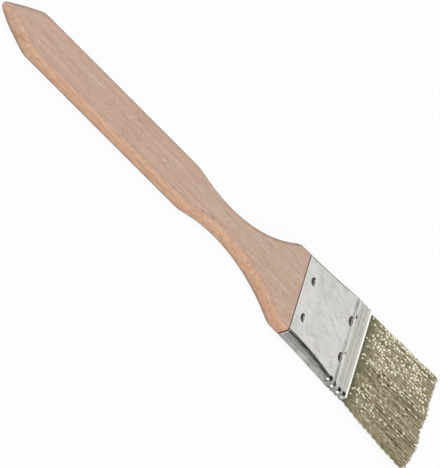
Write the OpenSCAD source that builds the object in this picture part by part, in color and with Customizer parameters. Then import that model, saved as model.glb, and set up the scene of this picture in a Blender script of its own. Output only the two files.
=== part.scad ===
// Flat wire brush for grout: a one-piece wooden handle, a pressed sheet ferrule nailed on its tang,
// and a tuft of crimped brass wire set in a block of resin.
// The brush lies on its back: +X runs from the handle's tip to the bristles, +Z out of its front face.
// The origin is on the handle's back face, halfway along the brush.

/* [Handle] */
// Length of the wood that shows, from its tip to the ferrule
handle_l = 197; // [175:1:260]
// Thickness of the wood
handle_t = 7.3; // [6.4:0.1:10]
// Radius along the long edges of the wood
edge_r = 2.8; // [0.8:0.1:3.1]
// Width of the grip
grip_w = 22.3; // [18:0.1:30]
// Length of the pointed end
point_l = 21.6; // [14:0.1:40]
// Radius of the very tip, seen from the front
nose_r = 1.0; // [0.6:0.1:3]
// Stretch over which the pointed end thins to its tip
thinning_l = 12; // [4:0.5:20]
// Width of the neck at its narrowest
neck_w = 14.8; // [10:0.1:17]
// Radius of the hollow on each side of the neck
neck_r = 70; // [45:1:90]
// How far each shoulder stands out past the ferrule
shoulder_lip = 0.5; // [0:0.1:2]
// Length from the shoulder's corner to the ferrule
shoulder_l = 7; // [4:0.5:12]
// Length of the tang inside the ferrule
tang_l = 21; // [16:0.5:24]

/* [Ferrule] */
// Length of the ferrule
ferrule_l = 42.3; // [40:0.1:60]
// Width of the ferrule where it meets the handle
ferrule_w = 41; // [36:0.1:60]
// Width of the mouth
mouth_w = 46.4; // [43:0.1:66]
// Thickness of the mouth
mouth_t = 3.9; // [3.6:0.1:5]
// Thickness of the sheet metal
sheet_t = 0.45; // [0.3:0.05:0.6]
// Depth of the sheet below the face of the wood
sheet_drop = 0.15; // [0:0.05:0.4]
// Radius along the folds of the sheet
fold_r = 1.6; // [1:0.1:2]
// Length of the crimped band at the mouth
band_l = 9; // [8.6:0.1:14]
// Number of crimp ridges behind the rim
ridge_n = 2; // [1:1:2]
// Distance from one crimp ridge to the next
ridge_pitch = 3; // [2.6:0.1:3.1]
// Height of the crimp ridges and of the rim
ridge_h = 0.25; // [0.1:0.05:0.4]

/* [Nails] */
// Distance of the nails from the brush's centreline
nail_y = 9.5; // [6:0.1:14]
// Distance of the front nails from the ferrule's handle end
nail_in = 5.3; // [3:0.1:7]
// Distance from the front nails back to those driven from behind
nail_stagger = 4; // [2.5:0.1:6]
// Length of a handle nail under its head
nail_l = 5; // [3:0.1:5.4]
// Radius of a shank
shank_r = 0.6; // [0.4:0.05:0.8]
// Radius of a head
head_r = 1.5; // [1:0.1:2]
// Thickness of a head
head_t = 0.3; // [0.2:0.05:0.4]
// How far a head stands out of the sheet
head_out = 0.12; // [0.05:0.01:0.15]
// Distance of the tuft's rivets behind the crimped band
rivet_back = 1.4; // [1:0.1:4]

/* [Tuft] */
// Length of the wire that shows beyond the mouth
wire_l = 43.2; // [20:0.1:60]
// Width across the tips of the wire
tip_w = 46.6; // [44:0.1:68]
// Thickness across the tips of the wire
tip_t = 5.4; // [3.5:0.1:9]
// How far the worn tips lean to the brush's right edge
lean = 2.3; // [0:0.1:4]
// Number of strands across the tuft
strands_across = 72; // [64:1:84]
// Number of layers of strands
strand_layers = 5; // [4:1:5]
// Size of a strand where it leaves the resin
strand_d = 0.4; // [0.3:0.02:0.42]
// Size of a strand at its tip
strand_tip_d = 0.5; // [0.3:0.02:0.54]
// Sideways bend of the crimp in the wire
crimp = 0.14; // [0:0.01:0.2]
// Unevenness of the cut tips
ragged = 1.4; // [0:0.1:3]
// Thickness of the slice of resin that carries the strands
slice_t = 2; // [1:0.1:3]
// Depth of that slice inside the mouth
slice_in = 3; // [2:0.1:4]

/* [Fits] */
// Gap between the sheet and what it holds
fit = 0.1; // [0.05:0.05:0.2]
// Gap between the end of the tang and the resin
end_gap = 0.3; // [0:0.1:1]

/* [Hidden] */

mid_z = handle_t / 2;
brush_l = handle_l + ferrule_l + wire_l;
seat_x = handle_l - brush_l / 2;
tip_x = -brush_l / 2;

grip_hw = grip_w / 2;
neck_hw = neck_w / 2;
ferrule_hw = ferrule_w / 2;
ferrule_ht = handle_t / 2 - sheet_drop;
shoulder_hw = ferrule_hw + shoulder_lip;
neck_reach = sqrt(pow(neck_r, 2) - pow(neck_r - (shoulder_hw - neck_hw), 2));
neck_x = handle_l - shoulder_l - neck_reach;
wood_end_gap = 0.2;
point_angle = atan2(grip_hw, point_l - nose_r) - asin(nose_r / norm([point_l - nose_r, grip_hw]));

point_blend = 1.5;
neck_blend = 1.2;
shoulder_blend = 1.2;

press_l = ferrule_l - band_l;
press_h = 0.5;
step_l = 1.2;
ridge_half = 1.1;
rim_in = 0.9;
mouth_r = 1.1;
hole_clear = 0.02;

block_x = tang_l + end_gap;
slice_x = ferrule_l - slice_in;
steps_round = 4;
nail_fn = 32;

function clamp01(t) = min(max(t, 0), 1);
function smooth(t) = let (c = clamp01(t)) c * c * (3 - 2 * c);
function mix(a, b, t) = a + (b - a) * t;
// The lower of two values, blended where they come closer than the given height
function soft_min(a, b, blend) =
    min(a, b) - pow(max(blend - abs(a - b), 0), 2) / (4 * blend);

// Half width of the wood at a distance from its tip
function nose(x) = sqrt(max(pow(nose_r, 2) - pow(nose_r - x, 2), 0));
function point_side(x) = x < nose_r * (1 - sin(point_angle))
    ? nose(x)
    : tan(point_angle) * (x - nose_r) + nose_r / cos(point_angle);
function neck_side(x) = neck_hw + neck_r - sqrt(max(pow(neck_r, 2) - pow(x - neck_x, 2), 0));
function shoulder_side(x) =
    shoulder_hw + (ferrule_hw - wood_end_gap - shoulder_hw) * (x - handle_l + shoulder_l) / shoulder_l;
function wood_hw(x) = x < neck_x
    ? soft_min(soft_min(point_side(x), grip_hw, point_blend), neck_side(x), neck_blend)
    : soft_min(neck_side(x), shoulder_side(x), shoulder_blend);
// Half thickness of the wood, which thins over the pointed end
function wood_ht(x) = handle_t / 2 * sqrt(1 - pow(max(1 - x / thinning_l, 0), 2));

// Outer half width, half thickness and fold radius of the ferrule at a distance from its handle end
function ridge(e, at) = ridge_h * smooth(1 - abs(e - at) / ridge_half);
function ridges(e) = ridge(e, ferrule_l - rim_in)
    + max([for (i = [1:ridge_n]) ridge(e, ferrule_l - rim_in - i * ridge_pitch)]);
function pressed(e) = clamp01(e / press_l);
function sheet_plain(e) = let (p = pressed(e), s = smooth((e - press_l) / step_l)) [
    ferrule_hw + (mouth_w / 2 - ridge_h - ferrule_hw) * mix(0.9 * p * p, 1, s),
    mix(ferrule_ht - (ferrule_ht - mouth_t / 2 - press_h) * pow(p, 3), mouth_t / 2 - ridge_h, s),
    mix(fold_r, mouth_r, pow(p, 3))];
function sheet_outer(e) = sheet_plain(e) + ridges(e) * [1, 1, 0];
function sheet_inner(e) = sheet_outer(e) - sheet_t * [1, 1, 1];
function sheet_bore(e) = sheet_plain(e) - (sheet_t + fit) * [1, 1, 1];

// A ring of points round a rounded rectangle, given its half width, half thickness and corner radius
function ring(x, s) = let (r = min(s[2], s[0] * 0.98, s[1] * 0.98)) [
    for (q = [0:3], i = [0:steps_round])
        let (a = 90 * (q + i / steps_round),
             cy = (q == 0 || q == 3 ? 1 : -1) * (s[0] - r),
             cz = (q < 2 ? 1 : -1) * (s[1] - r))
        [x, cy + r * cos(a), cz + r * sin(a)]];
ring_n = 4 * (steps_round + 1);

function flat(rings) = [for (r = rings, p = r) p];
function band(a, b, turn) = [for (i = [0:ring_n - 1]) let (j = (i + 1) % ring_n)
    each turn ? [[a + i, b + j, b + i], [a + i, a + j, b + j]]
              : [[a + i, b + i, b + j], [a + i, b + j, a + j]]];
function skin(first, count, turn) = [for (k = [0:count - 2])
    each band(first + k * ring_n, first + (k + 1) * ring_n, turn)];

// A solid through a row of rings
module loft(rings) {
    last = (len(rings) - 1) * ring_n;
    polyhedron(flat(rings), concat(
        skin(0, len(rings), false),
        [[for (i = [0:ring_n - 1]) i]],
        [[for (i = [ring_n - 1:-1:0]) last + i]]));
}

// A tube between two rows of rings
module tube(outer, inner) {
    n = len(outer);
    first_in = n * ring_n;
    polyhedron(flat(concat(outer, inner)), concat(
        skin(0, n, false),
        skin(first_in, n, true),
        band(0, first_in, true),
        band((n - 1) * ring_n, first_in + (n - 1) * ring_n, false)));
}

function steps(from, to, count) = [for (i = [0:count]) mix(from, to, i / count)];

wood_stations = concat(
    [for (i = [1:5]) thinning_l * (1 - cos(15 * i)) / 6],
    steps(nose_r + 1.2, point_l - 4, 5),
    steps(point_l - 3, point_l + 4, 7),
    steps(neck_x - 32, neck_x - 16, 8),
    steps(neck_x - 12, neck_x + neck_reach - 8, 9),
    steps(neck_x + neck_reach - 5, neck_x + neck_reach + 3, 8),
    [handle_l]);
function wood_edge(x) = mix(edge_r, fold_r, smooth((x - handle_l + shoulder_l) / shoulder_l));

module handle() {
    color("burlywood") translate([0, 0, mid_z]) difference() {
        loft(concat(
            [for (x = wood_stations) ring(tip_x + x, [wood_hw(x), wood_ht(x), wood_edge(x)])],
            [for (e = steps(0, tang_l - 1, 6)) ring(seat_x + e, sheet_bore(e))],
            [ring(seat_x + tang_l, sheet_bore(tang_l) - [0.6, 0.4, 0.2])]));
        nail_places() nail_hole(nail_l);
    }
}

// Each handle nail stands on the sheet at its own place, with its head outward
module nail_places() {
    for (side = [-1, 1]) {
        nail_seat(nail_in, side * nail_y) children();
        mirror([0, 0, 1]) nail_seat(nail_in + nail_stagger, side * nail_y) children();
    }
}

module nail_seat(e, y) {
    translate([seat_x + e, y, sheet_outer(e)[1] + head_out]) children();
}

module nail_head() {
    rotate_extrude($fn = nail_fn)
        polygon([[0, -head_t], [head_r, -head_t], [head_r, -head_t / 2], [0, 0]]);
}

module nail(l) {
    nail_head();
    translate([0, 0, -head_t - l]) cylinder(h = l + head_t / 2, r = shank_r, $fn = nail_fn);
}

module nail_hole(l) {
    translate([0, 0, -head_t - l - hole_clear])
        cylinder(h = l + 2 * head_t, r = shank_r + hole_clear, $fn = nail_fn);
    translate([0, 0, -head_t - hole_clear])
        cylinder(h = 3 * head_t, r = head_r + hole_clear, $fn = nail_fn);
}

rivet_e = press_l - rivet_back;
rivet_z = sheet_outer(rivet_e)[1] + head_out;

module rivet_places() {
    for (side = [-1, 1]) translate([seat_x + rivet_e, side * nail_y, 0]) children();
}

module rivet() {
    for (m = [0, 1]) mirror([0, 0, m]) translate([0, 0, rivet_z]) nail_head();
    cylinder(h = 2 * (rivet_z - head_t / 2), r = shank_r, center = true, $fn = nail_fn);
}

module rivet_hole() {
    cylinder(h = 3 * handle_t, r = shank_r + hole_clear, center = true, $fn = nail_fn);
    for (m = [0, 1]) mirror([0, 0, m]) translate([0, 0, rivet_z - head_t - hole_clear])
        cylinder(h = handle_t, r = head_r + hole_clear, $fn = nail_fn);
}

ferrule_stations = concat(
    steps(0, press_l, 8),
    steps(press_l + 0.35, press_l + step_l, 3),
    [for (i = [ridge_n:-1:0], k = [-2:2])
        let (e = ferrule_l - rim_in - i * ridge_pitch + k * ridge_half / 2)
        if (e > press_l + step_l + 0.05 && e < ferrule_l - 0.1) e],
    [ferrule_l]);

module ferrule() {
    color("gainsboro") translate([0, 0, mid_z]) difference() {
        tube([for (e = ferrule_stations) ring(seat_x + e, sheet_outer(e))],
             [for (e = ferrule_stations) ring(seat_x + e, sheet_inner(e))]);
        nail_places() nail_hole(nail_l);
        rivet_places() rivet_hole();
    }
}

module handle_nails() {
    color("dimgray") translate([0, 0, mid_z]) nail_places() nail(nail_l);
}

module tuft_rivets() {
    color("dimgray") translate([0, 0, mid_z]) rivet_places() rivet();
}

module resin_block() {
    color("saddlebrown") translate([0, 0, mid_z]) difference() {
        loft([for (e = concat(steps(block_x, press_l, 4), steps(press_l + step_l, slice_x - slice_t, 2)))
            ring(seat_x + e, sheet_bore(e))]);
        rivet_places() rivet_hole();
    }
}

// Each strand is a bent three-sided rod. Layers alternate by half a strand and in the way they bend.
strand_sides = 3;
strand_cuts = 2;
strand_n = strands_across * strand_layers;
root_margin = [0.45, 0.25, 0];
crimp_turns = 1.25;
stray = 0.05;
strays = rands(-stray, stray, 2 * strand_n, 28);
raggedness = rands(0, ragged, strand_n, 11);
root_half = sheet_bore(slice_x) - [1, 1, 0] * strand_d / 2 - root_margin;
tip_half = [tip_w, tip_t, 0] / 2 - [1, 1, 0] * strand_tip_d / 2;

function strand_at(layer, across, t) = let (
        u = 2 * (across + (layer % 2) / 2) / (strands_across - 0.5) - 1,
        w = 2 * layer / (strand_layers - 1) - 1,
        opening = sin(90 * t))
    [mix(u * root_half[0], u * tip_half[0] - lean, opening)
        + crimp * sin(360 * crimp_turns * t) * (layer % 2 == 0 ? 1 : -1)
        + strays[layer * strands_across + across],
     mix(w * root_half[1], w * tip_half[1], opening)
        + strays[strand_n + layer * strands_across + across]];
function strand_ring(layer, across, k) = let (
        t = k / strand_cuts,
        r = mix(strand_d, strand_tip_d, t) / 2,
        l = slice_in + wire_l - raggedness[layer * strands_across + across],
        c = strand_at(layer, across, t))
    [for (i = [0:strand_sides - 1]) let (a = 120 * i + (layer % 2 == 0 ? 90 : -90))
        [(k == 0 ? -slice_t / 2 : t * l), c[0] + r * cos(a), c[1] + r * sin(a)]];
function strand_faces(first) = concat(
    [[first, first + 1, first + 2]],
    [for (k = [0:strand_cuts - 1], i = [0:2]) let (
        a = first + 3 * k + i, b = first + 3 * k + (i + 1) % 3)
        each [[a, b + 3, b], [a, a + 3, b + 3]]],
    [let (last = first + 3 * strand_cuts) [last + 2, last + 1, last]]);

module strands() {
    per = strand_sides * (strand_cuts + 1);
    polyhedron(
        [for (layer = [0:strand_layers - 1], across = [0:strands_across - 1],
              k = [0:strand_cuts], p = strand_ring(layer, across, k)) p],
        [for (i = [0:strand_n - 1]) each strand_faces(i * per)]);
}

module bristles() {
    color("darkkhaki") translate([seat_x + slice_x - slice_t, 0, mid_z])
        resize([slice_t + slice_in + wire_l, 0, 0]) union() {
            loft([ring(0, sheet_bore(slice_x - slice_t)), ring(slice_t, sheet_bore(slice_x))]);
            translate([slice_t, 0, 0]) strands();
        }
}

handle();
ferrule();
handle_nails();
tuft_rivets();
resin_block();
bristles();
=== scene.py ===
import math
import random

import bpy
import numpy as np
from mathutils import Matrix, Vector


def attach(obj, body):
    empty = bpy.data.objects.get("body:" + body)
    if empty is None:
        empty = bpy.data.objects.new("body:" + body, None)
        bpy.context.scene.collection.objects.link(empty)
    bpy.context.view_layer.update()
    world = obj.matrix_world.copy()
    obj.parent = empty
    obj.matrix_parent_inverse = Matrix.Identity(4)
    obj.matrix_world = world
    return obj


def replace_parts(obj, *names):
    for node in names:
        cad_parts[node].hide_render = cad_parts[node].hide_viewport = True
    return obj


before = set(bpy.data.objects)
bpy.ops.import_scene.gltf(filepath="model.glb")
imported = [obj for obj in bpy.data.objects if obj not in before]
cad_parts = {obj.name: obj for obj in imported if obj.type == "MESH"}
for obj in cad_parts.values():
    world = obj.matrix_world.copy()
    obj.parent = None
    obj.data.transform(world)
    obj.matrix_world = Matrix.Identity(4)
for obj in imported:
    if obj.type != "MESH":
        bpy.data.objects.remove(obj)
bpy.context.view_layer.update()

# Sizes are in millimetres, as the part's own, and become metres where a mesh gets its points.
# X runs from the handle's tip to the wire, Y across the brush, and Z out of its front face.
MM = 0.001

handle_l = 197
handle_t = 7.3
edge_r = 2.8
grip_w = 21.9
point_l = 20.4
point_blend = 0.9
nose_r = 1.85
nose_in = 1.6
thinning_l = 12
neck_w = 14.65
neck_r = 70
neck_blend = 1.2
shoulder_lip = 0.5
shoulder_l = 7
shoulder_in = 0.2
joint_gap = 0.35
tang_l = 21

ferrule_l = 42.3
ferrule_w = 41
mouth_w = 46.8
mouth_t = 3.9
sheet_t = 0.45
sheet_drop = 0.15
fold_r = 1.6
mouth_r = 0.85
band_l = 9
ridge_n = 3
ridge_pitch = 3
ridge_h = 0.25
ridge_half = 1.1
rim_in = 0.9
step_l = 1.2
step_h = 0.5
spread = 0.9
fit = 0.1

nail_y = 9.5
nail_in = 5.3
nail_stagger = 4
nail_l = 5
shank_r = 0.6
head_r = 1.38
head_t = 0.42
head_sink = 0.3
rivet_back = 1.4

wire_l = 43.2
tip_w = 48.9
tip_t = 5.4
lean = 2.1
side_limit = 26.6
slice_in = 3

mid_z = handle_t / 2
brush_l = handle_l + ferrule_l + wire_l
tip_x = -brush_l / 2
seat_x = tip_x + handle_l
mouth_x = seat_x + ferrule_l
press_l = ferrule_l - band_l
rivet_in = press_l - rivet_back
slice_x = ferrule_l - slice_in


# Shapes of the wood and of the sheet

def clamp01(t):
    return min(max(t, 0), 1)


def smooth(t):
    return clamp01(t) ** 2 * (3 - 2 * clamp01(t))


def mix(a, b, t):
    return a + (b - a) * t


def soft_min(a, b, blend):
    return min(a, b) - max(blend - abs(a - b), 0) ** 2 / (4 * blend)


grip_hw, neck_hw, ferrule_hw = grip_w / 2, neck_w / 2, ferrule_w / 2
ferrule_ht = handle_t / 2 - sheet_drop
pressed_in = ferrule_ht - mouth_t / 2 - step_h
shoulder_hw = ferrule_hw + shoulder_lip
neck_reach = math.sqrt(neck_r ** 2 - (neck_r - (shoulder_hw - neck_hw)) ** 2)
neck_x = handle_l - shoulder_l - neck_reach
point_angle = (math.atan2(grip_hw, point_l - nose_r)
               - math.asin(nose_r / math.hypot(point_l - nose_r, grip_hw)))


def wood_hw(x):
    """Half width of the wood at a distance from the end of the brush."""
    from_nose = x - nose_in
    if from_nose < nose_r * (1 - math.sin(point_angle)):
        point = math.sqrt(max(nose_r ** 2 - (nose_r - from_nose) ** 2, 0))
    else:
        point = math.tan(point_angle) * (from_nose - nose_r) + nose_r / math.cos(point_angle)
    neck = neck_hw + neck_r - math.sqrt(max(neck_r ** 2 - (x - neck_x) ** 2, 0))
    if x < neck_x:
        return soft_min(soft_min(point, grip_hw, point_blend), neck, neck_blend)
    tapering = ferrule_hw - shoulder_in - shoulder_hw
    shoulder = shoulder_hw + tapering * (x - handle_l + shoulder_l) / shoulder_l
    return soft_min(neck, shoulder, neck_blend)


def wood_ht(x):
    """Half thickness of the wood, which thins over the pointed end."""
    return handle_t / 2 * math.sqrt(1 - max(1 - (x - nose_in) / thinning_l, 0) ** 2)


def ridges(e):
    """Height of the crimp ridges and of the rolled rim."""
    return ridge_h * max(smooth(1 - abs(e - ferrule_l + rim_in + i * ridge_pitch) / ridge_half)
                         for i in range(ridge_n))


def sheet(e, inward=0.0):
    """Half width, half thickness and fold radius of the sheet at a distance from its handle end."""
    p, s = clamp01(e / press_l), smooth((e - press_l) / step_l)
    hw = ferrule_hw + (mouth_w / 2 - ridge_h - ferrule_hw) * mix(spread * p * p, 1, s)
    ht = mix(ferrule_ht - pressed_in * p ** 3, mouth_t / 2 - ridge_h, s)
    r = mix(fold_r, mouth_r, p ** 3)
    return hw + ridges(e) - inward, ht + ridges(e) - inward, r - inward


def outline(hw, ht, r, corner=8, across=40, upright=4):
    """Points round a rounded rectangle in Y and Z, each with its outward direction."""
    r = min(r, 0.98 * hw, 0.98 * ht)
    points = []
    for q, (sy, sz) in enumerate(((1, 1), (-1, 1), (-1, -1), (1, -1))):
        cy, cz = sy * (hw - r), sz * (ht - r)
        for i in range(corner + 1):
            a = math.radians(90 * (q + i / corner))
            points.append((cy + r * math.cos(a), cz + r * math.sin(a)))
        ny, nz, n = ((-1, 0, across), (0, -1, upright), (1, 0, across), (0, 1, upright))[q]
        y0, z0 = points[-1]
        run = 2 * (hw - r) if ny else 2 * (ht - r)
        points += [(y0 + ny * run * i / n, z0 + nz * run * i / n) for i in range(1, n)]
    return points


def row_at(x, half_sizes, **points):
    """One row of points round the brush, at a distance from the handle's tip."""
    return [(tip_x + x, y, mid_z + z) for y, z in outline(*half_sizes, **points)]


# Making a piece

def deselect():
    if bpy.context.object and bpy.context.object.mode != "OBJECT":
        bpy.ops.object.mode_set(mode="OBJECT")
    bpy.ops.object.select_all(action="DESELECT")


def done(name, finish, angle=40):
    """Names the active piece, lays its place into its mesh, and gives it a finish and a body."""
    piece = bpy.context.object
    piece.name = piece.data.name = name
    bpy.ops.object.mode_set(mode="OBJECT")
    bpy.ops.object.transform_apply(location=True, rotation=True, scale=True)
    bpy.ops.object.shade_smooth_by_angle(angle=math.radians(angle))
    piece.data.materials.clear()
    piece.data.materials.append(finish)
    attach(piece, "root")
    return piece


def wrap_grid(rows):
    """A grid whose rows of points go round the brush, joined into a skin with closed ends."""
    deselect()
    bpy.ops.mesh.primitive_grid_add(x_subdivisions=len(rows[0]), y_subdivisions=len(rows) - 1,
                                    size=1)
    grid = bpy.context.object
    points = np.array([row + row[:1] for row in rows], float).reshape(-1, 3) * MM
    grid.data.vertices.foreach_set("co", points.ravel())
    bpy.ops.object.mode_set(mode="EDIT")
    bpy.ops.mesh.select_all(action="SELECT")
    bpy.ops.mesh.remove_doubles(threshold=1e-7)
    bpy.ops.mesh.select_all(action="SELECT")
    bpy.ops.mesh.fill_holes(sides=0)
    bpy.ops.mesh.select_all(action="SELECT")
    bpy.ops.mesh.normals_make_consistent(inside=False)
    return grid


# Node materials

def paint(r, g, b):
    """A colour as the eye reads it, in 0 to 255, for a shader."""
    def linear(c):
        c /= 255
        return c / 12.92 if c <= 0.04045 else ((c + 0.055) / 1.055) ** 2.4
    return (linear(r), linear(g), linear(b), 1.0)


class Socket:
    """An output of a node. Sums written with it add Math nodes."""

    def __init__(self, nodes, output):
        self.nodes, self.output = nodes, output

    def math(self, operation, *others):
        return self.nodes.node("Math", {"operation": operation}, dict(enumerate([self, *others])))

    def __add__(self, other): return self.math("ADD", other)
    __radd__ = __add__
    def __mul__(self, other): return self.math("MULTIPLY", other)
    __rmul__ = __mul__
    def __sub__(self, other): return self.math("SUBTRACT", other)

    def __rsub__(self, other):
        return self.nodes.node("Math", {"operation": "SUBTRACT"}, {0: other, 1: self})

    def __truediv__(self, other): return self.math("DIVIDE", other)
    def __pow__(self, other): return self.math("POWER", other)
    def __abs__(self): return self.math("ABSOLUTE")
    def least(self, other): return self.math("MINIMUM", other)
    def most(self, other): return self.math("MAXIMUM", other)

    def fade(self, low, high):
        """From 0 at low to 1 at high, with a soft start and end."""
        return self.nodes.node("MapRange", {"interpolation_type": "SMOOTHSTEP", "clamp": True},
                               {"Value": self, "From Min": low, "From Max": high})

    def falling(self, low, high):
        """From 1 at low to 0 at high."""
        return 1 - self.fade(low, high)


class Nodes:
    """A node tree, and the way to add nodes to it."""

    def __init__(self, tree):
        self.tree = tree

    def node(self, kind, settings=(), inputs=(), output=0):
        made = self.tree.nodes.new("ShaderNode" + kind)
        for key, value in dict(settings).items():
            if key == "stops":
                while len(made.color_ramp.elements) < len(value):
                    made.color_ramp.elements.new(0.5)
                for element, (at, colour) in zip(made.color_ramp.elements, value):
                    element.position, element.color = at, colour
            else:
                setattr(made, key, value)
        for key, value in dict(inputs).items():
            self.feed(made.inputs[key], value)
        return Socket(self, made.outputs[output])

    def feed(self, socket, value):
        if isinstance(value, Socket):
            self.tree.links.new(value.output, socket)
        else:
            socket.default_value = value


class Finish(Nodes):
    """A material, its surface shader, and the patterns that lie on a piece."""

    def __init__(self, name):
        self.material = bpy.data.materials.new(name)
        self.material.use_nodes = True
        super().__init__(self.material.node_tree)
        self.surface = self.tree.nodes["Principled BSDF"]
        self.place = self.node("TexCoord", output="Object")
        x, y, z = (self.node("SeparateXYZ", inputs={0: self.place}, output=i) for i in range(3))
        self.x, self.y, self.z = x / MM, y / MM, z / MM

    def mix(self, share, a, b):
        return self.node("Mix", {"data_type": "RGBA"}, {0: share, 6: a, 7: b}, output=2)

    def lay(self, colour, share, r, g, b):
        """A colour with a share of a second one laid over it."""
        return self.mix(share, colour, paint(r, g, b))

    def ramp(self, share, *stops):
        """Colours at places from 0 to 1, each written as its place, red, green and blue."""
        stops = [(at, paint(*rgb)) for at, *rgb in stops]
        return self.node("ValToRGB", {"stops": stops}, {"Fac": share})

    def noise(self, x, y, z, detail=2.0, roughness=0.5, shift=0.0):
        """Noise whose spots measure about x, y and z millimetres."""
        place = self.node("Mapping", inputs={"Vector": self.place, "Location": (shift,) * 3,
                                             "Scale": (1 / (x * MM), 1 / (y * MM), 1 / (z * MM))})
        return self.node("TexNoise", inputs={"Vector": place, "Scale": 1.0, "Detail": detail,
                                             "Roughness": roughness})

    def normal(self, axis):
        facing = self.node("NewGeometry", output="Normal")
        return self.node("SeparateXYZ", inputs={0: facing}, output=axis)

    def attribute(self, name):
        return self.node("Attribute", {"attribute_name": name}, output="Fac")

    def bump(self, height, distance, strength=1.0):
        """A Bump node for a height in millimetres."""
        return self.node("Bump", inputs={"Height": height, "Distance": distance * MM,
                                         "Strength": strength})

    def wear(self, **values):
        """Sets the surface shader's own sockets."""
        for key, value in values.items():
            self.feed(self.surface.inputs[key.replace("_", " ")], value)
        return self.material


def spot(along, across, x, y, rx, ry):
    """Distance from a point, 1 at the edge of an oval with these radii."""
    return (((along - x) / rx) ** 2 + ((across - y) / ry) ** 2) ** 0.5


def nearest(distances):
    least = distances[0]
    for distance in distances[1:]:
        least = least.least(distance)
    return least


def beech():
    f = Finish("beech")
    tip = f.x - tip_x
    turned = abs(f.normal(1))
    side = turned.fade(0.25, 0.85)

    broad = f.noise(34, 7, 7, 2)
    band = f.noise(75, 1.9, 3.2, 2, 0.55, shift=12.0)
    streak = f.noise(24, 0.8, 0.8, 3, 0.6)
    fibre = f.noise(7, 0.3, 0.3, 2, 0.6, shift=3.0)
    fleck = f.noise(3.2, 0.42, 0.42, 1, 0.5, shift=9.0).fade(0.6, 0.72)
    sallow = f.noise(10, 1.7, 1.7, 2, 0.5, shift=15.0).fade(0.52, 0.7)
    pale = f.mix(broad.fade(0.35, 0.65), paint(206, 174, 157), paint(200, 170, 149))
    pale = f.lay(pale, band.fade(0.5, 0.7) * 0.6, 188, 156, 137)
    pale = f.lay(pale, band.falling(0.3, 0.5) * 0.5, 218, 190, 172)
    pale = f.lay(pale, streak.fade(0.38, 0.68) * 0.45, 184, 150, 130)
    pale = f.lay(pale, sallow * 0.6, 200, 170, 134)
    ember = f.noise(7, 1.1, 1.1, 3, 0.6, shift=5.0)
    warm = f.mix(ember.fade(0.36, 0.64), paint(212, 172, 141), paint(198, 144, 113))
    warm = f.lay(warm, sallow * 0.5, 206, 166, 122)
    rings = f.noise(2.4, 12, 12, 2, 0.5, shift=14.0).fade(0.5, 0.62)
    warm = f.lay(warm, rings * tip.falling(12, 30) * 0.6, 176, 128, 98)
    pale = f.lay(pale, tip.fade(100, 145) * 0.12, 176, 152, 138)
    mottle = f.noise(2.2, 0.7, 0.7, 2, 0.6, shift=18.0)
    pale = f.lay(pale, mottle.fade(0.5, 0.72) * 0.5, 176, 148, 130)
    pale = f.lay(pale, mottle.falling(0.28, 0.48) * 0.4, 214, 188, 168)
    slant = tip - 1.5 * (f.z - mid_z)
    growth = abs(slant - 7.2).falling(0.1, 0.9).most(abs(slant - 14.1).falling(0.1, 1.0))
    warm = f.lay(warm, growth * f.normal(1).falling(-0.3, 0.0) * 0.6, 150, 112, 86)

    # The turned sides take a warmer colour: partly the side grain's own colour, partly painted
    # light on the lit side strip.
    colour = f.mix(side * (0.55 + 0.35 * tip.fade(6, 20)), pale, warm)
    # Painted shade where the face starts to round over into the edge.
    colour = f.lay(colour, turned.fade(0.06, 0.22) * turned.falling(0.3, 0.62) * 0.4, 168, 130, 106)
    colour = f.lay(colour, fibre.fade(0.48, 0.72) * 0.36, 158, 122, 102)
    colour = f.lay(colour, fibre.falling(0.28, 0.46) * 0.35, 226, 200, 182)
    colour = f.lay(colour, fleck * (0.26 + 0.34 * side), 146, 104, 80)
    # Painted shade under the turned edges and along the rounded edge on the +Y side.
    under = f.normal(2).falling(-0.75, 0.05) * turned.fade(0.2, 0.5)
    over = turned.fade(0.36, 0.6) * turned.falling(0.86, 0.98) * f.normal(1).fade(0, 0.2)
    colour = f.lay(colour, under.most(over * 0.85) * 0.85, 106, 92, 82)
    specks = spot(tip, f.y, 133, -7.0, 1.2, 0.45).least(spot(tip, f.y, 139.5, -5.6, 1.5, 0.4))
    colour = f.lay(colour, specks.falling(0.5, 1.1) * 0.55 * f.normal(2).fade(0, 0.3), 110, 76, 60)
    # Painted shade in the gap where the wood meets the ferrule.
    joint_gap_shade = tip.fade(handle_l - 1.1, handle_l - 0.5)
    colour = f.lay(colour, joint_gap_shade * 0.9, 66, 54, 46)
    height = fibre * 0.5 + streak * 0.5 - fleck * 0.6
    return f.wear(Base_Color=colour, Roughness=0.5 + 0.2 * streak + 0.08 * fleck,
                  Normal=f.bump(height, 0.06, 0.7))


def nail_spots(f, reach, dx=0.0, dy=0.0):
    """Distance from the nearest nail or rivet, each on the face that it stands on."""
    def on_face(nail_at):
        ovals = ((nail_at, 0.86, 1.16), (rivet_in, 0.9, 1.38))
        return nearest([spot(f.x, f.y, seat_x + at + dx, side * nail_y + dy,
                             reach * long, reach * wide)
                        for at, long, wide in ovals for side in (-1, 1)])

    up = f.normal(2).fade(-0.1, 0.1)
    return on_face(nail_in) * up + on_face(nail_in + nail_stagger) * (1 - up)


def nail_shade(f, colour):
    """Painted shade in the hollow on one side of each head and a thin painted highlight on the
    other.
    """
    hollow = nail_spots(f, 1.9).falling(0.92, 1.06)
    hollow = hollow * nail_spots(f, 1.55, 0.95, 0.15).fade(0.8, 1.05)
    rim = nail_spots(f, 2.1).falling(0.92, 1.06)
    rim = rim * nail_spots(f, 1.9, -0.3, -0.1).fade(0.95, 1.08)
    colour = f.lay(colour, rim * 0.7, 246, 246, 242)
    return f.lay(colour, hollow * 0.92, 48, 46, 42)


# Painted shade and painted highlights on the beads at the mouth: distance along the ferrule, then Y
# or height
bead_hollows = ((30.2, -21.7), (33.6, -22.0), (37.1, -22.1), (40.1, -22.1))
bead_crests = ((29.6, 1.4), (33.4, 0.6), (37.3, 0.6), (40.7, 0.4))
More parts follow.
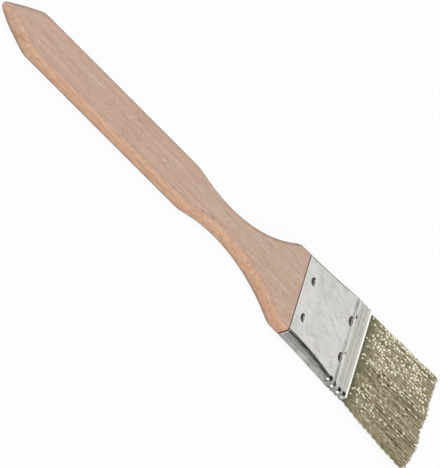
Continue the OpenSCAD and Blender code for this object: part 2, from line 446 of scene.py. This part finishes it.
# Pits on the ferrule's front, each with its distance along, Y, reach and depth, and then the ovals
# of their painted shade and of the painted highlights beside them
pits = ((34.5, 14.3, 0.9, 0.2), (34.3, -4.9, 0.8, 0.16))
pit_ovals = ((34.5, 14.3, 0.9, 1.25), (34.3, -4.9, 0.7, 1.0))
pit_glints = ((33.4, 13.6, 0.8, 0.9), (33.4, -5.3, 0.6, 0.7))


def tinned_sheet():
    f = Finish("tinned_sheet")
    e = f.x - seat_x
    turned = abs(f.normal(1))

    def line(at, half):
        return abs(e - at).falling(0.3 * half, half)

    cloud = f.noise(11, 9, 9, 3, 0.6)
    rub = f.noise(14, 0.6, 0.6, 3, 0.65, shift=4.0)
    colour = f.mix(cloud.fade(0.35, 0.68), paint(217, 216, 211), paint(203, 203, 197))
    blush = f.noise(9, 6, 6, 2, 0.5, shift=11.0)
    colour = f.lay(colour, blush.fade(0.5, 0.72) * 0.6, 219, 211, 207)
    colour = f.lay(colour, blush.falling(0.3, 0.48) * 0.5, 202, 206, 197)
    smudge = f.noise(3.5, 2.6, 2.6, 2, shift=7.0)
    colour = f.lay(colour, smudge.fade(0.5, 0.75) * 0.6, 184, 184, 177)
    scuff = f.noise(4, 0.5, 0.5, 2, 0.7, shift=8.0)
    colour = f.lay(colour, scuff.fade(0.58, 0.72) * 0.5, 158, 157, 151)
    colour = f.lay(colour, scuff.falling(0.28, 0.42) * 0.5, 240, 240, 236)

    band = e.fade(press_l - 0.2, press_l + 1.2)
    glint_bias = f.mix(rub.fade(0.35, 0.65), paint(204, 203, 196), paint(184, 182, 174))
    colour = f.mix(band * 0.85, colour, glint_bias)
    lines = f.noise(0.45, 26, 30, 2, 0.6, shift=2.0)
    colour = f.lay(colour, band * lines.fade(0.5, 0.7) * 0.55, 142, 139, 132)
    colour = f.lay(colour, band * lines.falling(0.3, 0.45) * 0.4, 236, 234, 226)
    # Painted shade just before the step down to the band, patchy along it, and a painted highlight
    # on the step's rise just after.
    groove = f.noise(9, 5, 5, 1, shift=17.0).fade(0.35, 0.6)
    colour = f.lay(colour, line(press_l - 0.8, 1.5) * (0.3 + 0.35 * groove), 116, 117, 111)
    colour = f.lay(colour, line(press_l + 0.9, 0.7) * 0.75, 246, 245, 239)
    between = line(press_l + 3.6, 0.4).most(line(press_l + 5.4, 0.4))
    colour = f.lay(colour, between * 0.35, 132, 129, 123)

    # Across the turned side before the beads, by depth below the front face: painted shade and
    # painted reflection, dark at the fold, light lower down and dark again at the bottom edge, with
    # streaks along it.
    streaks = f.noise(40, 0.45, 0.45, 3, 0.7, shift=6.0)
    press = (e / press_l).most(0.0).least(1.0) ** 3
    drop = mid_z + ferrule_ht - press * pressed_in - f.z
    depth = f.ramp(drop / (2 * ferrule_ht), (0, 110, 110, 106), (0.02, 50, 50, 47),
                   (0.085, 56, 56, 53), (0.16, 118, 117, 113), (0.27, 154, 152, 148),
                   (0.6, 186, 184, 180), (0.8, 168, 166, 162), (1, 92, 91, 88))
    depth = f.lay(depth, streaks.fade(0.5, 0.6) * 0.65, 96, 95, 92)
    depth = f.lay(depth, streaks.falling(0.38, 0.5) * 0.35, 222, 220, 215)
    before_beads = e.falling(press_l - 2.6, press_l - 1.4)
    flank = turned.fade(0.08, 0.26) * before_beads
    fold = flank * drop.falling(0.7, 1.4)
    colour = f.mix(flank, colour, depth)
    # Painted shade on the underside of the turned side.
    below = turned.fade(0.2, 0.6) * f.normal(2).falling(-0.7, -0.1)
    colour = f.lay(colour, below * 0.6, 84, 83, 80)

    # The beads' sides are grey, with painted shade on their undersides.
    bead = turned.fade(0.12, 0.34) * e.fade(press_l - 2.6, press_l - 1.4)
    colour = f.lay(colour, bead, 150, 149, 144)
    colour = f.lay(colour, bead * f.normal(2).falling(-0.7, 0.1), 92, 91, 88)

    # Painted shade in the beads' hollows near the front edge and painted highlights on their
    # crests.
    on_top = f.normal(2).fade(-0.1, 0.1)
    hollows = nearest([spot(e, f.y, at, y, 1.35, 1.2) for at, y in bead_hollows])
    hollows = hollows.falling(0.45, 1.1) * on_top
    colour = f.lay(colour, hollows, 50, 50, 45)
    crests = nearest([spot(e, f.z, at, mid_z + z, 0.85, 0.75) for at, z in bead_crests])
    crests = crests.falling(0.6, 1.05) * f.normal(1).falling(-0.65, -0.4)
    colour = f.lay(colour, crests * e.falling(40.0, 41.5).most(0.6), 255, 255, 252)

    # A painted highlight along the sheet's edge at the handle end.
    colour = f.lay(colour, line(0.3, 0.3) * 0.4, 246, 245, 240)
    # A painted highlight on the rolled rim, where the metal is also made less metallic.
    rim = e.fade(ferrule_l - 1.4, ferrule_l - 1.05) * turned.falling(0.5, 0.8)
    colour = f.lay(colour, rim, 255, 254, 244)
    colour = nail_shade(f, colour)
    # Painted shade in the pits and painted highlights beside them.
    pit = nearest([spot(e, f.y, *oval) for oval in pit_ovals])
    lit = nearest([spot(e, f.y, *oval) for oval in pit_glints])
    colour = f.lay(colour, lit.falling(0.5, 1.1) * on_top * 0.8, 250, 250, 246)
    colour = f.lay(colour, pit.falling(0.6, 1.05) * on_top * 0.85, 74, 73, 68)
    height = cloud * 0.3 + rub * 0.4
    return f.wear(Base_Color=colour, Metallic=0.8 - 0.45 * rim + 0.2 * fold.most(hollows),
                  Roughness=0.36 + 0.16 * cloud + 0.1 * rub + 0.4 * fold.most(hollows),
                  Normal=f.bump(height, 0.05, 0.5))


def nail_steel():
    f = Finish("nail_steel")
    cloud = f.noise(1.2, 1.2, 1.2, 3)
    colour = f.mix(cloud.fade(0.35, 0.7), paint(186, 184, 178), paint(130, 127, 120))
    colour = f.lay(colour, f.x.fade(seat_x + 20, seat_x + 21) * 0.55, 116, 104, 96)
    colour = nail_shade(f, colour)
    return f.wear(Base_Color=colour, Metallic=0.85, Roughness=0.34 + 0.2 * cloud,
                  Normal=f.bump(cloud, 0.05, 0.6))


def resin():
    f = Finish("resin")
    cloud = f.noise(2.5, 2.5, 2.5, 3)
    colour = f.mix(cloud, paint(92, 74, 44), paint(60, 50, 34))
    return f.wear(Base_Color=colour, Roughness=0.35 + 0.2 * cloud, Normal=f.bump(cloud, 0.1, 0.5))


def brass_wire():
    f = Finish("brass_wire")
    tone, glint, deep = f.attribute("tone"), f.attribute("glint"), f.attribute("deep")
    out = (f.x - mouth_x) / wire_l
    colour = f.ramp(tone, (0, 72, 68, 42), (0.2, 136, 127, 94), (0.5, 190, 178, 145),
                    (0.8, 222, 211, 180), (1, 252, 243, 218))
    pink = f.noise(4.5, 1.6, 1.6, 2, shift=1.0).fade(0.5, 0.7)
    olive = f.noise(6, 2.5, 2.5, 2, shift=13.0).fade(0.52, 0.7)
    colour = f.lay(colour, pink * 0.5, 188, 152, 126)
    colour = f.lay(colour, olive * 0.45, 132, 134, 88)
    colour = f.lay(colour, out.falling(0.0, 0.3) * 0.55, 112, 114, 80)
    colour = f.lay(colour, out.fade(0.7, 1.0) * 0.5, 190, 172, 136)
    # Painted shadow in a thin line just below the rim.
    colour = f.lay(colour, out.falling(0.0, 0.07) * 0.6, 74, 80, 54)
    # Painted shade on the strands that lie deeper in the tuft.
    colour = f.lay(colour, deep * 0.7, 84, 78, 54)
    # Painted glints on the beads set on the outer strands' crests.
    colour = f.lay(colour, glint, 255, 252, 228)
    return f.wear(Base_Color=colour, Metallic=0.5 - 0.5 * glint, Roughness=0.42 - 0.2 * glint)


# The handle: one piece of beech, with its tang inside the ferrule

def make_handle(finish):
    """Rows of points close together on the nose, and further apart along the grip and neck."""
    points = {"corner": 10, "across": 12}
    nose = [nose_in + thinning_l * (1 - math.cos(math.radians(7.5 * i))) / 6 for i in range(1, 10)]
    point = [2.6 + 0.9 * i for i in range(1, 22)]
    grip = [22.5 + 1.75 * i for i in range(98)]
    seat = handle_l - joint_gap
    rows = []
    for x in [x for x in nose + point + grip if x < seat - 0.3] + [seat - 0.2]:
        r = mix(edge_r, fold_r, smooth((x - handle_l + shoulder_l) / shoulder_l))
        rows.append(row_at(x, (wood_hw(x), wood_ht(x), r), **points))
    rows.append(row_at(seat, (wood_hw(seat) - 0.15, wood_ht(seat) - 0.12, fold_r), **points))
    for e in (-joint_gap, 0.0, 3.0, 8.0, 14.0, tang_l - 1):
        rows.append(row_at(handle_l + e, sheet(max(e, 0), sheet_t + fit), **points))
    wrap_grid(rows)
    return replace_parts(done("beech_handle", finish), "handle")


# The ferrule: sheet pressed flat at the mouth, dimpled where the nails and rivets sit

def dimples(top):
    """The dents in one face of the sheet: distance along it, Y, reach and depth."""
    nail_at = nail_in if top else nail_in + nail_stagger
    places = [(nail_at, side * nail_y, 2.3, 0.26) for side in (-1, 1)]
    places += [(rivet_in, side * nail_y, 2.4, 0.3) for side in (-1, 1)]
    return places + list(pits) if top else places


def make_ferrule(finish):
    """The sheet's outside up to the rim, then over the rim and back along its inside."""
    points = {"corner": 9, "across": 90, "upright": 6}
    dents = {top: dimples(top) for top in (True, False)}

    def dent(e, y, top):
        return max(depth * smooth(1.25 - math.hypot(e - at, y - across) / reach)
                   for at, across, reach, depth in dents[top])

    outside = [0.0, 0.08] + [0.25 + 0.37 * i for i in range(114)]
    outside = [e for e in outside if e < ferrule_l - 0.12] + [ferrule_l - 0.1]
    inside = [0.0] + [0.4 + 1.1 * i for i in range(38)]
    rows = []
    for e in outside:
        plain = row_at(handle_l + e, sheet(e, 0.06 if e < 0.05 else 0), **points)
        rows.append([(x, y, z - math.copysign(dent(e, y, z > mid_z), z - mid_z))
                     for x, y, z in plain])
    for inward in (0.1, sheet_t - 0.1):
        rows.append(row_at(handle_l + ferrule_l, sheet(ferrule_l, inward), **points))
    for e in reversed(inside):
        rows.append(row_at(handle_l + e, sheet(e, sheet_t), **points))
    rows.append(rows[0])
    wrap_grid(rows)
    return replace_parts(done("ferrule_sheet", finish, 50), "ferrule")


# Nails and rivets: a shank with a low domed head

def domed_pin(x, y, z, up, shank):
    """A pin with its head at a place on the sheet; the head is a flattened ball."""
    bpy.ops.mesh.primitive_uv_sphere_add(segments=32, ring_count=16, radius=1,
                                         location=(x * MM, y * MM, z * MM),
                                         scale=(head_r * MM, head_r * MM, head_t * MM))
    head = bpy.context.object
    bpy.ops.mesh.primitive_cylinder_add(vertices=20, radius=shank_r * MM, depth=shank * MM,
                                        location=(x * MM, y * MM, (z - up * shank / 2) * MM))
    return [head, bpy.context.object]


def set_pins(places):
    """Pins on both sides of the middle, joined. A place is a face, a distance in and a shank."""
    deselect()
    parts = []
    for side in (-1, 1):
        for up, at, shank in places:
            top = sheet(at)[1] - head_sink
            parts += domed_pin(seat_x + at, side * nail_y, mid_z + up * top, up, shank)
    bpy.ops.object.select_all(action="DESELECT")
    for part in parts:
        part.select_set(True)
    bpy.context.view_layer.objects.active = parts[0]
    bpy.ops.object.join()


def make_nails(finish):
    set_pins([(1, nail_in, nail_l), (-1, nail_in + nail_stagger, nail_l)])
    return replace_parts(done("handle_nails_domed", finish), "handle_nails")


def make_rivets(finish):
    """Each rivet is two pins that meet in the middle."""
    half = sheet(rivet_in)[1] - head_sink
    set_pins([(1, rivet_in, half), (-1, rivet_in, half)])
    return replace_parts(done("tuft_rivets_domed", finish), "tuft_rivets")


# The resin: the block behind and the slice that the wire stands in

def make_resin(finish):
    """The last row is drawn in a little, as the edge of poured resin is."""
    block = [tang_l + 0.3 + 1.5 * i for i in range(12)]
    rows = []
    for e in block + [slice_x - 0.6, slice_x - 0.2, slice_x]:
        rows.append(row_at(handle_l + e, sheet(e, sheet_t + fit + 0.12 * (e == slice_x))))
    wrap_grid(rows)
    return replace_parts(done("resin_fill", finish), "resin_block")


# The wire: crimped strands, crest after crest on both sides of their line

strand_r = 0.19
sides = 3
crest_n = 28
across_n = 86
root_in = 0.2
tip_wear = 2.6
wander = 0.18


def strand(rng, u, w):
    """Centres and upward swings of one strand, from the resin to its cut tip.

    It stands at u across the tuft and at w through it, both from -1 to 1.
    """
    hw, ht, _ = sheet(slice_x, sheet_t + fit + root_in)
    cut = 0.6 * u + 0.6 * (1 - u * u) + 0.7
    length = slice_in + wire_l + cut - tip_wear * rng.random() ** 1.3 + 0.4 * math.sin(9 * u)
    turn = rng.uniform(0, math.pi)
    height = rng.uniform(0.08, 0.24)
    phase, wave, bend = rng.random(), rng.uniform(9, 22), rng.uniform(0, 6.3)
    stray = 2.2 if abs(u) < 0.9 and rng.random() < 0.08 else 1
    end_y = u * (tip_w / 2 - 0.1) - lean + stray * rng.gauss(0, 0.22)
    end_z = w * (tip_t / 2 - 0.15) + stray * rng.gauss(0, 0.09)
    centres, swings = [], []
    for i in range(crest_n + 1):
        x = (i - phase * (0 < i < crest_n)) / crest_n * length
        along = x / (slice_in + wire_l)
        swing = height * smooth(x / 7) * (1 if i % 2 else -1) * (i < crest_n)
        y = (mix(u * hw, end_y, along ** 0.6) + swing * math.cos(turn)
             + wander * smooth(x / 12) * math.sin(6.28 * x / wave + bend))
        z = mid_z + mix(w * ht, end_z, along ** 0.45) + swing * math.sin(turn)
        centres.append((seat_x + slice_x - 0.4 * (i == 0) + x, max(y, -side_limit), z))
        swings.append(swing * math.sin(turn))
    return centres, swings


def strand_skin(rng, centres, swings, tone, spin):
    """Corners and faces of a thin rod along the centres, with a tone painted lighter where a crest
    swings up and darker where it swings down.
    """
    corners, tones = [], []
    for (x, y, z), swing in zip(centres, swings):
        # Painted light: the tone rises where a crest swings up and falls where it swings down.
        here = clamp01(mix(tone, rng.random(), 0.52) + 0.9 * swing)
        for k in range(sides):
            a = math.radians(spin + 360 * k / sides)
            corners.append((x, y + strand_r * math.cos(a), z + strand_r * math.sin(a)))
        tones += [here] * sides
    faces = [(sides * k + j, sides * k + (j + 1) % sides,
              sides * (k + 1) + (j + 1) % sides, sides * (k + 1) + j)
             for k in range(crest_n) for j in range(sides)]
    last = sides * crest_n
    faces += [(2, 1, 0), (last, last + 1, last + 2)]
    return corners, faces, tones


def glint_share(x, y):
    """Share of crests given a painted glint: many on one half, a few rows near the mouth on the
    other.
    """
    out = x - mouth_x
    many = 0.2 * smooth((y + 2.5) / 7) * smooth(out / 10)
    rows = 0.26 * math.exp(-((y + 15.5) / 4) ** 2 - ((out - 9) / 8) ** 2)
    return 0.06 * smooth((y + 22) / 6) + many + rows


def glint_bead(rng, x, y, z):
    """Corners and faces of a small flattened bead on a strand's crest, painted white as a glint."""
    size = rng.uniform(0.75, 1.1)
    long, wide, tall = 0.9 * size, 0.56 * size, 0.4
    around = [math.radians(60 * k) for k in range(6)]
    corners = [(x + long * math.cos(a), y + wide * math.sin(a), z) for a in around]
    corners += [(x, y, z + tall), (x, y, z - tall)]
    faces = [(k, (k + 1) % 6, 6) for k in range(6)] + [((k + 1) % 6, k, 7) for k in range(6)]
    return corners, faces


def make_wire(name, finish, layers, seed):
    """Layers of strands in one mesh, marked with their tone, their glints and how deep they lie."""
    rng = random.Random(seed)
    corners, faces = [], []
    marks = {"tone": [], "glint": [], "deep": []}

    def add(new_corners, new_faces, tones, glint, deep):
        first = len(corners)
        corners.extend(new_corners)
        faces.extend(tuple(first + i for i in face) for face in new_faces)
        marks["tone"] += tones
        marks["glint"] += [glint] * len(new_corners)
        marks["deep"] += [deep] * len(new_corners)

    for w in layers:
        for i in range(across_n):
            u = 2 * (i + rng.uniform(0.1, 0.9)) / across_n - 1
            # How deep a strand lies, which the finish turns into painted shade.
            deep = smooth(min((1 - abs(w)) * tip_t / 2, (1 - abs(u)) * tip_w / 2) / 1.2)
            edge = math.sqrt(max(1 - abs(u) ** 30, 0.3))
            centres, swings = strand(rng, u, w * edge + rng.uniform(-0.05, 0.05))
            tone, spin, glint_bias = rng.random(), rng.uniform(0, 120), rng.choice((0.3, 0.6, 2.1))
            add(*strand_skin(rng, centres, swings, tone, spin), 0.0, deep)
            # Beads for painted glints on some crests of the outer strands outside the mouth.
            for x, y, z in centres[2:-1]:
                bare = abs(w) > 0.95 and x > mouth_x + 0.8
                if bare and rng.random() < glint_bias * glint_share(x, y):
                    bead, bead_faces = glint_bead(rng, x, y, z + math.copysign(0.13, w))
                    glint = rng.choice((0.8, 0.95, 1.0))
                    add(bead, bead_faces, [1.0] * len(bead), glint, 0.0)
    mesh = bpy.data.meshes.new(name)
    mesh.from_pydata([(x * MM, y * MM, z * MM) for x, y, z in corners], [], faces)
    for key, values in marks.items():
        mesh.attributes.new(key, "FLOAT", "POINT").data.foreach_set("value", values)
    piece = bpy.data.objects.new(name, mesh)
    bpy.context.scene.collection.objects.link(piece)
    deselect()
    piece.select_set(True)
    bpy.context.view_layer.objects.active = piece
    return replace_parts(done(name, finish, 180), "bristles")


# Floor, light and camera

def white_behind(nodes, shader, output, keep):
    """Plain white to the camera and in reflections, with a share of the shader kept over it."""
    camera, glossy, clear = (nodes.node("LightPath", output=ray) for ray in
                             ("Is Camera Ray", "Is Glossy Ray", "Is Transmission Ray"))
    seen = camera.most(glossy).most(clear)
    white = nodes.node("Emission", inputs={"Color": (1, 1, 1, 1)})
    nodes.feed(output, nodes.node("MixShader", inputs={0: seen * (1 - keep),
                                                       1: Socket(nodes, shader), 2: white}))


def make_floor():
    deselect()
    bpy.ops.mesh.primitive_plane_add(size=8, location=(0, 0, -0.0001))
    floor = bpy.context.object
    floor.name = "floor"
    f = Finish("floor_white")
    f.wear(Base_Color=(0.95, 0.95, 0.95, 1), Roughness=0.9, Specular_IOR_Level=0.0)
    output = f.tree.nodes["Material Output"].inputs["Surface"]
    white_behind(f, f.surface.outputs[0], output, 0.1)
    floor.data.materials.append(f.material)


def make_world(strength):
    world = bpy.data.worlds.new("studio")
    bpy.context.scene.world = world
    world.use_nodes = True
    nodes = Nodes(world.node_tree)
    background = nodes.tree.nodes["Background"]
    nodes.feed(background.inputs["Color"], (1, 1, 1, 1))
    nodes.feed(background.inputs["Strength"], strength)
    output = nodes.tree.nodes["World Output"].inputs["Surface"]
    white_behind(nodes, background.outputs[0], output, 0.0)


def lamp(name, place, size, power):
    light = bpy.data.lights.new(name, "AREA")
    light.shape, light.size, light.energy = "DISK", size, power
    made = bpy.data.objects.new(name, light)
    bpy.context.scene.collection.objects.link(made)
    made.location = place
    made.rotation_euler = (Vector((0, 0, 0)) - Vector(place)).to_track_quat("-Z", "Y").to_euler()


# The photograph's view: where the brush's length and its width run in the picture, the point at
# its middle in millimetres, and in metres the camera's distance and the height that it takes in
view_along = (0.848, -0.375, 0.375)
view_across = (0, 0.7071, 0.7071)
view_aim = (-32.4, -51.01, 48.79)
view_far = 8.0
view_h = 0.1879
sensor_w = 36


def make_camera():
    """A long lens, with the brush running down to the right."""
    along, across = Vector(view_along), Vector(view_across)
    right, up = (along + across).normalized(), (across - along).normalized()
    back = right.cross(up).normalized()
    up = back.cross(right)
    data = bpy.data.cameras.new("camera")
    data.sensor_width = sensor_w
    data.lens = sensor_w * view_far / view_h
    data.clip_start, data.clip_end = 0.1, 30
    camera = bpy.data.objects.new("camera", data)
    bpy.context.scene.collection.objects.link(camera)
    matrix = camera.matrix_world.to_3x3()
    matrix.col[0], matrix.col[1], matrix.col[2] = right, up, back
    camera.matrix_world = matrix.to_4x4()
    camera.location = Vector(view_aim) * MM + back * view_far
    bpy.context.scene.camera = camera


make_camera()
make_floor()
make_world(0.62)
lamp("key", (-0.9, -0.7, 1.9), 0.9, 14)
lamp("fill", (0.9, -1.6, 0.9), 1.2, 8)

make_handle(beech())
make_ferrule(tinned_sheet())
steel = nail_steel()
make_nails(steel)
make_rivets(steel)
make_resin(resin())
wire = brass_wire()
make_wire("wire_front", wire, (1.0, 0.93, 0.82, 0.68, 0.52, 0.34, 0.12), 5)
make_wire("wire_back", wire, (-0.12, -0.34, -0.52, -0.68, -0.82, -0.93, -1.0), 6)

bpy.context.scene.view_settings.view_transform = "Standard"
